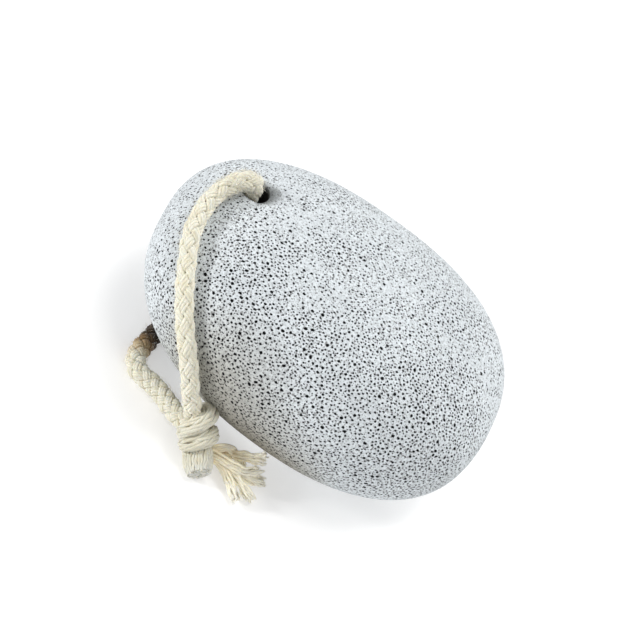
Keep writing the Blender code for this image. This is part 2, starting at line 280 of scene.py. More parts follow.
CUT_END_ROUTE = (
    (-0.0114, -0.0414, 0.0050),
    (-0.0101, -0.0430, 0.0040),
    (-0.0090, -0.0446, 0.0034),
    (-0.0080, -0.0459, 0.0030),
    (-0.0073, -0.0468, 0.0028),
)
STUB_RINGS = ((30, 1.0), (22, 0.76), (15, 0.52), (8, 0.28))  # yarns, share of half width
STUB_HALF = 3.30 * MM
STUB_SWELL = 0.30 * MM
STUB_TAPER = 0.9 * MM  # less at the end
STUB_FLATNESS = 0.78
STUB_TURN = 0.3  # of its yarns about it, in radians
STUB_YARN_RADIUS = 0.43 * MM
STUB_TWIST = 2000.0  # of each yarn, in radians a metre
STUB_FILLING = 2.1 * MM
STUB_FRAY = (4, 0.3)  # fibres a yarn, and their reach
LOOSE_YARN_RADII = (0.35 * MM, 0.23 * MM)  # of a frayed yarn, along it and at its tip
LOOSE_TWIST = 2600.0
LOOSE_STRAY = (4, 0.30 * MM)  # waves along it and how far they take it sideways
LOOSE_LIFT = (4, 0.28 * MM)
LOOSE_STEP = 0.40 * MM
LOOSE_FRAY = (10, 1.0)
BUNDLES = (
    # name, yarns, paleness at the root (below one half it paints shade between the yarns), half
    # width at the root and the tip, half thickness,
    # points of its middle
    ("over the root", 5, 0.42, 0.85 * MM, 0.9 * MM, 0.40 * MM, (
        (-0.0086, -0.0413, 0.0060),
        (-0.0065, -0.0401, 0.0073),
        (-0.0048, -0.0387, 0.0074),
        (-0.0030, -0.0377, 0.0060),
        (-0.0008, -0.0372, 0.0042),
        (0.0016, -0.0370, 0.0026),
    )),
    ("upper", 11, 0.33, 0.9 * MM, 1.5 * MM, 0.6 * MM, (
        (-0.0060, -0.0390, 0.0052),
        (-0.0034, -0.0379, 0.0053),
        (-0.0014, -0.0376, 0.0062),
        (0.0008, -0.0370, 0.0068),
        (0.0030, -0.0363, 0.0072),
        (0.0051, -0.0357, 0.0075),
    )),
    ("cup", 9, 0.45, 1.2 * MM, 1.1 * MM, 0.4 * MM, (
        (-0.0084, -0.0414, 0.0052),
        (-0.0062, -0.0416, 0.0060),
        (-0.0038, -0.0416, 0.0060),
        (-0.0008, -0.0411, 0.0055),
        (0.0020, -0.0399, 0.0050),
        (0.0040, -0.0381, 0.0052),
        (0.0052, -0.0366, 0.0058),
    )),
    ("lower middle", 12, 0.40, 1.0 * MM, 1.2 * MM, 0.5 * MM, (
        (-0.0069, -0.0417, 0.0056),
        (-0.0043, -0.0407, 0.0052),
        (-0.0012, -0.0408, 0.0048),
        (0.0018, -0.0404, 0.0042),
        (0.0049, -0.0393, 0.0034),
        (0.0077, -0.0378, 0.0030),
    )),
    ("lowest, on the right", 10, 0.42, 0.7 * MM, 1.2 * MM, 0.45 * MM, (
        (-0.0069, -0.0421, 0.0052),
        (-0.0045, -0.0412, 0.0048),
        (-0.0018, -0.0415, 0.0042),
        (0.0012, -0.0421, 0.0035),
        (0.0042, -0.0430, 0.0027),
        (0.0072, -0.0441, 0.0020),
    )),
    ("lowest, on the left", 10, 0.43, 0.7 * MM, 1.2 * MM, 0.45 * MM, (
        (-0.0066, -0.0425, 0.0050),
        (-0.0045, -0.0422, 0.0046),
        (-0.0026, -0.0427, 0.0040),
        (-0.0006, -0.0437, 0.0032),
        (0.0015, -0.0451, 0.0025),
        (0.0037, -0.0469, 0.0019),
    )),
    ("wisp over the stone", 3, 0.60, 0.2 * MM, 0.5 * MM, 0.2 * MM, (
        (0.0004, -0.0370, 0.0068),
        (0.0020, -0.0364, 0.0076),
        (0.0032, -0.0359, 0.0088),
        (0.0034, -0.0357, 0.0102),
    )),
)

# ---- Fuzz: how many fibres, and where along the strands ----
FUZZ_FIBRES = 2200
BY_THE_HOLE = slice(50, 90)  # points of a strand's line
PAST_THE_HOLE = slice(90, None)

# ---- Cotton: its fibres, the painted shade between them, and its paler ends ----
SHADE_TINTS = (
    # paleness and tint of a yarn, from the darkest painted shade to none
    (0.0, (0.045, 0.027, 0.014)),
    (0.20, (0.26, 0.17, 0.095)),
    (0.34, (0.62, 0.50, 0.36)),
    (PLAIN_PALENESS, (1.0, 1.0, 1.0)),
)
CREAM = ((0.90, 0.875, 0.76), (0.70, 0.66, 0.52), (0.9, 0.88, 0.8))
# a darker copy of the cord's cotton for the knot and the cut end: wear from handling, and painted
# shade
WORN_AND_SHADED = ((0.76, 0.74, 0.63), (0.55, 0.52, 0.40), (0.78, 0.77, 0.70))
# a warmer and lighter copy for the frayed end: its own warmer tint, and painted light
WARM_AND_LIT = ((1.0, 0.93, 0.72), (0.90, 0.69, 0.41), (1.0, 0.95, 0.79))

# ---- Room and lights ----
FLOOR_HALF = 8.0
FLOOR_GLOW = 0.43
WORLD_STRENGTH = 0.27
LIGHT_AIM = (0.0, 0.0, 0.02)
LIGHTS = (
    # name, watts, size across, place
    ("key", 9.8, 0.28, (-1.135, -0.456, 0.443)),
    ("top", 6.5, 0.60, (0.13, 0.13, 1.29)),
    ("back", 10.0, 0.80, (0.53, 0.99, 0.66)),
    ("fill", 4.0, 0.80, (0.70, -0.85, 0.70)),
)


# ---- Small helpers ----

def unit(vectors):
    return vectors / np.linalg.norm(vectors, axis=-1, keepdims=True)


def add_object(name, data):
    """An object of the scene, made from a mesh, a light or a camera."""
    item = bpy.data.objects.new(name, data)
    bpy.context.collection.objects.link(item)
    return item


def add_mesh(name, points, faces, material, attributes):
    """A mesh object that rides on the body and takes a finish.

    Each of the attributes is a label, a kind and a value for each point.
    """
    mesh = bpy.data.meshes.new(name)
    mesh.from_pydata(points.tolist(), [], faces)
    for label, kind, values in attributes:
        layer = mesh.attributes.new(label, kind, "POINT")
        key = "value" if kind == "FLOAT" else "vector"
        layer.data.foreach_set(key, np.asarray(values, dtype=np.float32).ravel())
    mesh.validate()
    mesh.shade_smooth()
    mesh.materials.append(material)
    item = add_object(name, mesh)
    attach(item, "root")
    return item


class Nodes:
    """A short way to wire up a material's nodes."""

    def __init__(self, name):
        self.material = bpy.data.materials.new(name)
        self.material.use_nodes = True
        self.tree = self.material.node_tree
        self.shader = self.tree.nodes["Principled BSDF"]

    def add(self, kind, settings=None, **inputs):
        node = self.tree.nodes.new(kind)
        for key, value in (settings or {}).items():
            setattr(node, key, value)
        self.plug_all(node, **inputs)
        return node

    def plug_all(self, node, **inputs):
        for key, value in inputs.items():
            self.plug(node, key.replace("_", " "), value)

    def plug(self, node, key, value):
        if isinstance(value, bpy.types.NodeSocket):
            self.tree.links.new(value, node.inputs[key])
        else:
            node.inputs[key].default_value = value

    def math(self, operation, first, second=0.0):
        node = self.tree.nodes.new("ShaderNodeMath")
        node.operation = operation
        self.plug(node, 0, first)
        self.plug(node, 1, second)
        return node.outputs[0]

    def ramp(self, factor, stops):
        node = self.tree.nodes.new("ShaderNodeValToRGB")
        self.plug(node, "Fac", factor)
        ramp = node.color_ramp
        while len(ramp.elements) < len(stops):
            ramp.elements.new(0.5)
        for element, (position, colour) in zip(ramp.elements, stops):
            element.position = position
            element.color = (*colour, 1.0)
        return node.outputs["Color"]

    def mix(self, factor, first, second, blend="MIX"):
        """For two colours the node's inputs are 0, 6 and 7, and its output is 2."""
        node = self.tree.nodes.new("ShaderNodeMix")
        node.data_type = "RGBA"
        node.blend_type = blend
        self.plug(node, 0, factor)
        self.plug(node, 6, first)
        self.plug(node, 7, second)
        return node.outputs[2]


def grey(value):
    return (value, value, value)


# ---- Making the camera ----

def camera_axes():
    """Right, up and back of the camera, once it is rolled."""
    turn, tilt = CAMERA_TURN, CAMERA_ELEVATION
    right = Vector((math.cos(turn), -math.sin(turn), 0.0))
    away = Vector((math.sin(turn), math.cos(turn), 0.0))
    up = away * math.sin(tilt) + Vector((0.0, 0.0, math.cos(tilt)))
    back = -away * math.cos(tilt) + Vector((0.0, 0.0, math.sin(tilt)))
    rolled_right = right * math.cos(CAMERA_ROLL) + up * math.sin(CAMERA_ROLL)
    rolled_up = up * math.cos(CAMERA_ROLL) - right * math.sin(CAMERA_ROLL)
    return rolled_right, rolled_up, back


def make_camera():
    """Puts the stone's middle where it is in the photograph."""
    right, up, back = camera_axes()
    data = bpy.data.cameras.new("camera")
    data.sensor_width = SENSOR_WIDTH
    data.lens = SENSOR_WIDTH * CAMERA_DISTANCE * PIXELS_PER_METRE / IMAGE_WIDTH
    camera = add_object("camera", data)
    aim = Vector(STONE_MIDDLE)
    aim -= right * (STONE_MIDDLE_PIXEL[0] - IMAGE_WIDTH / 2) / PIXELS_PER_METRE
    aim += up * (STONE_MIDDLE_PIXEL[1] - IMAGE_WIDTH / 2) / PIXELS_PER_METRE
    turn = Matrix((right, up, back)).transposed()
    camera.matrix_world = Matrix.Translation(aim + back * CAMERA_DISTANCE) @ turn.to_4x4()
    bpy.context.scene.camera = camera


# ---- Making the stone ----

def skin_point(directions):
    """Point of the stone's skin in each direction from its middle, before the flat."""
    u = unit(directions)
    sums = (np.abs(u) ** ROUNDNESS).sum(1)
    reach = sums ** (-1.0 / ROUNDNESS)
    for _name, towards, height in BULGES:
        cosine = np.clip(u @ unit(np.array(towards)), -1.0, 1.0)
        reach = reach + height * np.exp(-0.5 * (np.arccos(cosine) / BULGE_SPREAD) ** 2)
    x, y, z = (u * reach[:, None]).T
    skin = np.stack([
        HALF_LENGTH * x,
        HALF_WIDTH * y * (1.0 + WIDTH_GAIN * x),
        HALF_HEIGHT * z * (1.0 + HEIGHT_GAIN * x) - NARROW_LIFT * x,
    ], axis=1)
    return skin + np.array(STONE_MIDDLE)


def skin_slope(directions):
    """Outward normal at each point, and how much area a small step of direction covers."""
    step = 1e-4
    # the helper is an axis well away from the direction
    helper = np.where(np.abs(directions[:, 2:]) < 0.8, [[0.0, 0.0, 1.0]], [[1.0, 0.0, 0.0]])
    first = unit(np.cross(helper, directions))
    second = np.cross(directions, first)
    here = skin_point(directions)
    along_first = (skin_point(directions + step * first) - here) / step
    along_second = (skin_point(directions + step * second) - here) / step
    across = np.cross(along_first, along_second)
    area = np.linalg.norm(across, axis=1)
    return across / area[:, None], area


def even_directions(random, count):
    """Directions, at most count, whose skin points are spread evenly over the stone."""
    directions = unit(random.normal(size=(2 * count, 3)))
    _normal, area = skin_slope(directions)
    kept = directions[random.random(2 * count) * area.max() < area]
    return kept[:count]


def ripple(points, size):
    """A slow unevenness over the stone, mostly from -2 to 2: three crossing waves."""
    x, y, z = (points / size).T
    waves = np.sin(1.3 * x + 0.7 * y + 2.0) + np.sin(1.1 * y - 0.8 * z - 0.6 * x)
    return waves + np.sin(0.9 * z + 1.4 * x - 1.2 * y + 4.0)


def coarseness(points):
    """From 0 to 1: where the stone is fine and where it is full of large pores."""
    coarse = np.zeros(len(points))
    for place in COARSE_PLACES:
        away = ((points - np.array(place)) ** 2).sum(1)
        coarse = np.maximum(coarse, np.exp(-away / (2.0 * COARSE_REACH ** 2)))
    strength, size = COARSE_RIPPLE
    return np.clip(coarse + strength * ripple(points, size), 0.0, 1.0)


def pore_wish(places, smallest):
    """How welcome a pore is at each place. Large ones keep to where the stone is coarse."""
    if smallest > SMALL_PORE:
        plain, more = LARGE_WISH
        return plain + more * coarseness(places)
    plain, more = SMALL_WISH
    strength, size = SMALL_RIPPLE
    return plain + strength * ripple(places, size) + more * coarseness(places)


def nearby(cells, home):
    """Place and radius of each pore in one cell and in the cells about it."""
    x, y, z = home
    for dx, dy, dz in itertools.product((-1, 0, 1), repeat=3):
        yield from cells.get((x + dx, y + dy, z + dz), ())


def has_room(place, radius, others):
    """Whether a pore, or a plain point of radius 0, keeps clear of the others."""
    x, y, z = place
    for other_x, other_y, other_z, other in others:
        room = ROOM_SHARE * (radius + other) + PORE_WALL
        if radius == 0.0:
            room = max(PLAIN_SPACING, other + 0.5 * PLAIN_SPACING)
        if (other_x - x) ** 2 + (other_y - y) ** 2 + (other_z - z) ** 2 < room * room:
            return False
    return True


def scatter_pores(random):
    """Directions and radii of pores, thrown at random, largest first, and kept apart.

    Radius 0 is a plain point. The last one is the pole at -Z.
    """
    cells = {}
    directions, radii = [], []
    for limit, smallest, largest, tries in PORE_SIZES:
        thrown = even_directions(random, tries)
        places = skin_point(thrown)
        sizes = random.uniform(smallest, largest, size=len(thrown))
        welcome = random.random(len(thrown)) < pore_wish(places, smallest)
        welcome &= thrown[:, 2] >= POLE_CLEAR
        made = 0
        for direction, place, size in zip(thrown[welcome], places[welcome], sizes[welcome]):
            home = tuple(np.floor(place / CELL).astype(int))
            if made < limit and has_room(place, size, nearby(cells, home)):
                cells.setdefault(home, []).append((*place, size))
                directions.append(direction)
                radii.append(size)
                made += 1
    directions.append(np.array([0.0, 0.0, -1.0]))
    radii.append(0.0)
    return np.array(directions), np.array(radii)


def join_up(directions):
    """Triangles between neighbouring directions. The last one is the pole at -Z."""
    # seen from the pole the sphere lies flat, and its circles stay circles
    flat = directions[:-1, :2] / (1.0 + directions[:-1, 2:])
    corners = [Vector(point) for point in flat]
    result = geometry.delaunay_2d_cdt(corners, [], [], 0, 1e-9)
    source = [came_from[0] for came_from in result[3]]
    triangles = np.array([[source[corner] for corner in face] for face in result[2]])
    edges = np.concatenate([triangles[:, [0, 1]], triangles[:, [1, 2]], triangles[:, [2, 0]]])
    known = {tuple(edge) for edge in edges.tolist()}
    pole = len(directions) - 1
    rim = [(b, a, pole) for a, b in known if (b, a) not in known]
    return np.concatenate([triangles, np.array(rim)])


def pore_rims(places, normals, radii, tail, head, random):
    """Where the rim of each pore crosses the ways from its middle to its neighbours."""
    towards = places[head] - places[tail]
    lengths = np.linalg.norm(towards, axis=1)
    towards = towards / lengths[:, None]
    long_axis = unit(np.cross(normals, random.normal(size=(len(places), 3))))
    stretch = random.uniform(0.0, STRETCH, size=len(places))
    along = (towards * long_axis[tail]).sum(1) ** 2
    reach = radii[tail] * (1.0 + stretch[tail] * (along - 0.5))
    reach *= random.uniform(*RAGGED, size=len(tail))
    reach = np.minimum(reach, RIM_LIMIT * lengths + 0.5 * (radii[tail] - radii[head]))
    rims = places[tail] + towards * reach[:, None]
    rims[:, 2] = np.maximum(rims[:, 2], 0.0)
    crumble = random.normal(size=len(tail)) * CRUMBLE
    rims += normals[tail] * np.where(rims[:, 2] > 0.0, crumble, 0.0)[:, None]
    return rims


def skin_faces(corners):
    """Faces of the skin, from the six corners of each triangle once its tips are cut off.

    Where a tip is a plain point it isn't cut, its two corners are one, and the faces that
    this leaves empty are dropped.
    """
    faces = np.concatenate([
        corners[:, [0, 1, 2]],
        corners[:, [2, 3, 4]],
        corners[:, [4, 5, 0]],
        corners[:, [0, 2, 4]],
    ])
    return faces[(faces != np.roll(faces, 1, axis=1)).all(1)]


def pore_faces(triangles, rim, foot, is_cone, is_bowl):
    """Faces down each pore from its rim: a cone, or a bowl with a steep wall and a floor."""
    faces = []
    for first, second, tip in ((0, 5, 0), (2, 1, 1), (4, 3, 2)):
        floor = triangles[:, tip]
        rim_a, rim_b = rim[:, first], rim[:, second]
        foot_a, foot_b = foot[:, first], foot[:, second]
        cone, bowl = is_cone[floor], is_bowl[floor]
        faces.append(np.stack([floor, rim_a, rim_b], 1)[cone])
        faces.append(np.stack([floor, foot_a, foot_b], 1)[bowl])
        faces.append(np.stack([foot_a, rim_a, rim_b], 1)[bowl])
        faces.append(np.stack([foot_a, rim_b, foot_b], 1)[bowl])
    return np.concatenate(faces)


def pored_skin(random):
    """Points, faces and painted shade of the stone's skin, each pore with its rim cut out."""
    directions, radii = scatter_pores(random)
    triangles = join_up(directions)
    places = skin_point(directions)
    normals, _area = skin_slope(directions)
    on_flat = places[:, 2] < 0.0
    places[on_flat, 2] = 0.0
    normals[on_flat] = (0.0, 0.0, -1.0)
    count = len(places)

    # a way runs from each tip of a triangle to each other tip, and triangles share them
    tails = triangles[:, [0, 1, 1, 2, 2, 0]]
    heads = triangles[:, [1, 0, 2, 1, 0, 2]]
    ways, index = np.unique(tails * count + heads, return_inverse=True)
    index = index.reshape(tails.shape)
    tail, head = ways // count, ways % count
    rims = pore_rims(places, normals, radii, tail, head, random)

    depths = radii * random.uniform(*DEPTH, size=count)
    floors = places - normals * depths[:, None]
    drop = BOWL_FOOT * depths[tail]
    feet = places[tail] + BOWL_FOOT * (rims - places[tail]) - normals[tail] * drop[:, None]

    is_pore = radii > 0.0
    is_bowl = radii > BOWL_RADIUS
    rim = count + index
    foot = rim + len(ways)
    faces = np.concatenate([
        skin_faces(np.where(is_pore[tails], rim, tails)),
        pore_faces(triangles, rim, foot, is_pore & ~is_bowl, is_bowl),
    ])
    # painted shade: full on a pore's floor, none on its rim, and most of it at a bowl's foot
    painted_shade = np.concatenate([
        is_pore.astype(float),
        np.zeros(len(ways)),
        np.full(len(ways), BOWL_FOOT_SHADE),
    ])
    points = np.concatenate([floors, rims, feet])
    used, faces = np.unique(faces, return_inverse=True)
    return points[used], faces.reshape(-1, 3), painted_shade[used]


def hole_cutter():
    """A drill with a flare at each mouth, where the rims of the hole are worn."""
    profile = (
        (BOTTOM_MOUTH_HEIGHT - CUTTER_OVERRUN, BOTTOM_MOUTH_WEAR + CUTTER_OVERRUN),
        (BOTTOM_MOUTH_HEIGHT + BOTTOM_MOUTH_WEAR, 0.0),
        (BOTTOM_MOUTH_HEIGHT + BOTTOM_MOUTH_WEAR + HOLE_SHADE_DEPTH, 0.0),
        (TOP_MOUTH_HEIGHT - TOP_MOUTH_WEAR - HOLE_SHADE_DEPTH, 0.0),
        (TOP_MOUTH_HEIGHT - TOP_MOUTH_WEAR, 0.0),
        (TOP_MOUTH_HEIGHT + CUTTER_OVERRUN, TOP_MOUTH_WEAR + CUTTER_OVERRUN),
    )
    points, faces = [], []
    for height, flare in profile:
        for side in range(HOLE_SIDES):
            angle = 2.0 * math.pi * side / HOLE_SIDES
            reach = (HOLE_RADIUS + flare) * (1.0 + HOLE_WOBBLE * math.sin(HOLE_LOBES * angle))
            points.append((
                HOLE_CENTRE[0] + reach * math.cos(angle),
                HOLE_CENTRE[1] + reach * math.sin(angle),
                height,
            ))
    for ring in range(len(profile) - 1):
        for side in range(HOLE_SIDES):
            here = ring * HOLE_SIDES + side
            after = ring * HOLE_SIDES + (side + 1) % HOLE_SIDES
            faces.append((here, after, after + HOLE_SIDES, here + HOLE_SIDES))
    top = (len(profile) - 1) * HOLE_SIDES
    faces.append(tuple(reversed(range(HOLE_SIDES))))
    faces.append(tuple(range(top, top + HOLE_SIDES)))
    mesh = bpy.data.meshes.new("hole_cutter")
    mesh.from_pydata(points, [], faces)
    return add_object("hole_cutter", mesh)


def pumice_material():
    """Pale grey skin with pores too small for the mesh, painted shade in all its pores, and a
    brownish painted shade low on the knot's side.
    """
    n = Nodes("pumice")
    place = n.add("ShaderNodeTexCoord").outputs["Object"]
    broad = n.add("ShaderNodeTexNoise", Vector=place, Scale=55.0, Detail=4.0, Roughness=0.6)
    grain = n.add("ShaderNodeTexNoise", Vector=place, Scale=1500.0, Detail=5.0, Roughness=0.7)
    crumbs = n.add("ShaderNodeTexNoise", Vector=place, Scale=700.0, Detail=3.0, Roughness=0.6)
    cells = n.add("ShaderNodeTexVoronoi", Vector=place, Scale=1250.0, Randomness=1.0)
    small_cells = n.add("ShaderNodeTexVoronoi", Vector=place, Scale=2300.0, Randomness=1.0)
    size = n.math("ADD", n.math("MULTIPLY", broad.outputs["Fac"], 0.30), 0.14)
    fine_pore = n.math("LESS_THAN", cells.outputs["Distance"], size)
    finest_pore = n.math("LESS_THAN", small_cells.outputs["Distance"], size)
    fine_pore = n.math("MAXIMUM", fine_pore, n.math("MULTIPLY", finest_pore, 0.7))

    darker, lighter = SKIN_COLOURS
    unshaded = n.ramp(broad.outputs["Fac"], ((0.30, darker), (0.70, lighter)))
    speckle = n.ramp(grain.outputs["Fac"], ((0.36, grey(0.70)), (0.62, grey(1.10))))
    skin = n.mix(0.75, unshaded, speckle, "MULTIPLY")
    # painted shade in the pores too small for the mesh
    skin = n.mix(n.math("MULTIPLY", fine_pore, 0.72), skin, FINE_PORE_SHADE_COLOUR)
    # painted shade of the underside, brownish, low on the knot's side
    for middle, reach in UNDERSIDE_SHADES:
        away = n.add("ShaderNodeVectorMath", {"operation": "DISTANCE"})
        n.plug(away, 0, place)
        n.plug(away, 1, middle)
        share = n.math("DIVIDE", away.outputs["Value"], reach)
        underside_shade = n.ramp(share, ((0.25, UNDERSIDE_SHADE_COLOUR), (1.0, grey(1.0))))
        skin = n.mix(1.0, skin, underside_shade, "MULTIPLY")
    # painted shade from the mesh: the pores' floors and the hole's wall go near black
    painted_shade = n.add("ShaderNodeAttribute", {"attribute_name": "painted_shade"}).outputs["Fac"]
    shade = n.ramp(painted_shade, ((0.0, grey(0.0)), (FULL_SHADE_FROM, grey(1.0))))
    colour = n.mix(shade, skin, PORE_SHADE_COLOUR)

    relief = n.math("ADD", n.math("MULTIPLY", grain.outputs["Fac"], 0.5), crumbs.outputs["Fac"])
    relief = n.math("SUBTRACT", relief, n.math("MULTIPLY", fine_pore, 0.7))
    bump = n.add("ShaderNodeBump", Strength=0.8, Distance=0.16 * MM, Height=relief)
    n.plug_all(
        n.shader, Base_Color=colour, Roughness=0.93, Specular_IOR_Level=0.25,
        Normal=bump.outputs["Normal"],
    )
    return n.material


def shade_hole(mesh):
    """Paints shade on the wall of the drilled hole, darker and darker in from its two mouths."""
    points = np.empty(3 * len(mesh.vertices))
    mesh.vertices.foreach_get("co", points)
    points = points.reshape(-1, 3)
    from_axis = np.hypot(points[:, 0] - HOLE_CENTRE[0], points[:, 1] - HOLE_CENTRE[1])
    depth = np.minimum(TOP_MOUTH_HEIGHT - points[:, 2], points[:, 2] - BOTTOM_MOUTH_HEIGHT)
    on_wall = (from_axis < WALL_MARGIN * HOLE_RADIUS) & (depth > 0.0)
    layer = mesh.attributes["painted_shade"].data
    painted_shade = np.empty(len(points))
    layer.foreach_get("value", painted_shade)
    painted_shade[on_wall] = HOLE_SHADE * np.clip(depth[on_wall] / HOLE_SHADE_DEPTH, 0.0, 1.0)
    layer.foreach_set("value", painted_shade)


def make_stone():
    """The pored skin with the hole drilled through it."""
    points, faces, painted_shade = pored_skin(np.random.default_rng(PORE_SEED))
    stone = add_mesh(
        "pored_stone", points, faces.tolist(), pumice_material(),
        (("painted_shade", "FLOAT", painted_shade),),
    )
    cutter = hole_cutter()
    cut = stone.modifiers.new("drilled", "BOOLEAN")
    cut.operation = "DIFFERENCE"
    cut.solver = "MANIFOLD"
    cut.object = cutter
    evaluated = stone.evaluated_get(bpy.context.evaluated_depsgraph_get())
    drilled = bpy.data.meshes.new_from_object(evaluated)
    stone.modifiers.clear()
    stone.data = drilled
    bpy.data.objects.remove(cutter, do_unlink=True)
    shade_hole(drilled)
    drilled.set_sharp_from_angle(angle=SHARP_EDGE)
    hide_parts("pumice_stone")


# ---- Making yarns and braids ----

def run_lengths(line):
    """How far along the line each of its points is."""
    return np.concatenate([[0.0], np.linalg.norm(np.diff(line, axis=0), axis=1).cumsum()])


def smooth_route(points, spacing):
    """Points at an even spacing on a smooth curve through the given ones."""
    knots = np.array(points, dtype=float)
    padded = np.concatenate([[2 * knots[0] - knots[1]], knots, [2 * knots[-1] - knots[-2]]])
    t = np.arange(16)[:, None] / 16
    fine = []
    for before, start, end, after in zip(padded, padded[1:], padded[2:], padded[3:]):
        fine.append(0.5 * (
            2 * start
            + (end - before) * t
            + (2 * before - 5 * start + 4 * end - after) * t ** 2
            + (3 * start - before - 3 * end + after) * t ** 3
        ))
    fine = np.concatenate([*fine, knots[-1:]])
    lengths = run_lengths(fine)
    wanted = np.linspace(0.0, lengths[-1], max(3, round(lengths[-1] / spacing) + 1))
    return np.stack([np.interp(wanted, lengths, fine[:, axis]) for axis in range(3)], axis=1)


def moving_frames(points, start_side=START_SIDE):
    """Two directions across the line at each point, carried along without twist."""
    tangents = unit(np.gradient(points, axis=0))
    side = np.array(start_side, dtype=float)
    sides = np.empty_like(points)
    for index, tangent in enumerate(tangents):
        side = side - tangent * (side @ tangent)
        side = side / np.linalg.norm(side)
        sides[index] = side
    return sides, np.cross(tangents, sides)


class Strands:
    """Many thin tubes gathered into one mesh, with a straightened place for their fibres."""

    def __init__(self):
        self.points, self.faces, self.places, self.pale = [], [], [], []
        self.count = 0

    def add(self, line, radii, sides, seed, twist=YARN_TWIST, paleness=PLAIN_PALENESS):
        """A tube along the line. Its streaks turn about it by twist radians a metre."""
        across, upwards = moving_frames(line)
        lengths = run_lengths(line)
        angles = 2.0 * math.pi * np.arange(sides) / sides
        radii = np.broadcast_to(radii, (len(line),))
        ring = across[:, None] * np.cos(angles)[:, None]
        ring = ring + upwards[:, None] * np.sin(angles)[:, None]
        points = line[:, None] + ring * radii[:, None, None]
        turned = angles[None] + twist * lengths[:, None]
        # round the tube and then along it, and elsewhere for each seed
        place = np.stack([
            np.cos(turned) + 7.0 * seed,
            np.sin(turned) - 3.0 * seed,
            np.broadcast_to(lengths[:, None] / MM * 0.35, turned.shape),
        ], axis=2)
        rows, start = len(line), self.count
        ring_starts = start + np.arange(rows - 1)[:, None] * sides
        here = ring_starts + np.arange(sides)
        after = ring_starts + (np.arange(sides) + 1) % sides
        quads = np.stack([here, after, after + sides, here + sides], axis=2).reshape(-1, 4)
        self.points.append(points.reshape(-1, 3))
        self.places.append(place.reshape(-1, 3))
        self.pale.append(np.repeat(np.broadcast_to(paleness, (rows,)), sides))
        self.faces.extend(quads.tolist())
        self.count += rows * sides
        self.faces.append(list(range(start, start + sides))[::-1])
        self.faces.append(list(range(self.count - sides, self.count)))

    def make(self, name, material):
        """The mesh of all the tubes, none of them lower than the floor."""
        points = np.concatenate(self.points)
        points[:, 2] = np.maximum(points[:, 2], FLOOR_TOUCH)
        places = np.concatenate(self.places)
        return add_mesh(
            name, points, self.faces, material,
            (("fibre", "FLOAT_VECTOR", places), ("pale", "FLOAT", np.concatenate(self.pale))),
        )


def wander(random, count, waves, size):
    """A slow random wobble along a line of count points."""
    t = np.linspace(0.0, 1.0, count)
    total = np.zeros(count)
    for wave in range(1, waves + 1):
        phase = random.uniform(0.0, 2.0 * math.pi)
        total += np.sin(2.0 * math.pi * wave * t + phase) * random.uniform(0.4, 1.0)
    return total * size / math.sqrt(waves)


def braid(strands, route, half, lay, random, depth, yarn_radius=YARN_RADIUS,
          start_side=START_SIDE, paleness=PLAIN_PALENESS):
    """A plain braid along the route, of carriers that pass over and under each other.

    half is the half width and half thickness of the whole cord, lay is how far the carriers
    turn about it, in radians a metre, and depth is how far they rise and fall.
    """
    count = len(route)
    sides, ups = moving_frames(route, start_side)
    turn = lay * run_lengths(route)
    inner = depth + yarn_radius
    yarn_angle = 2.0 * math.pi / CARRIERS / YARNS * CARRIER_FILL
    middle_yarn = (YARNS - 1) // 2
    for direction, carrier in itertools.product((1, -1), range(CARRIERS)):
        drift = wander(random, count, *CARRIER_DRIFT)
        lift = wander(random, count, *CARRIER_LIFT)
        for yarn in range(YARNS):
            shift = (yarn - (YARNS - 1) / 2) * yarn_angle
            angle = 2.0 * math.pi * carrier / CARRIERS + direction * turn + shift + drift
            angle = angle + wander(random, count, *YARN_DRIFT)
            weave = np.cos(CARRIERS * (turn + direction * shift / 2))
            weave = weave / np.sqrt(WEAVE_SOFTNESS + weave ** 2) * WEAVE_GAIN
            radial = direction * depth * weave + lift - OUTER_YARN_DROP * (yarn != middle_yarn)
            radial = radial + wander(random, count, *YARN_LIFT)
            across = (half[0] - inner + radial) * np.cos(angle)
            up = (half[1] - inner + radial) * np.sin(angle)
            line = route + sides * across[:, None] + ups * up[:, None]
            seed = random.integers(1, SEEDS)
            strands.add(line, yarn_radius, YARN_SIDES, seed, paleness=paleness)


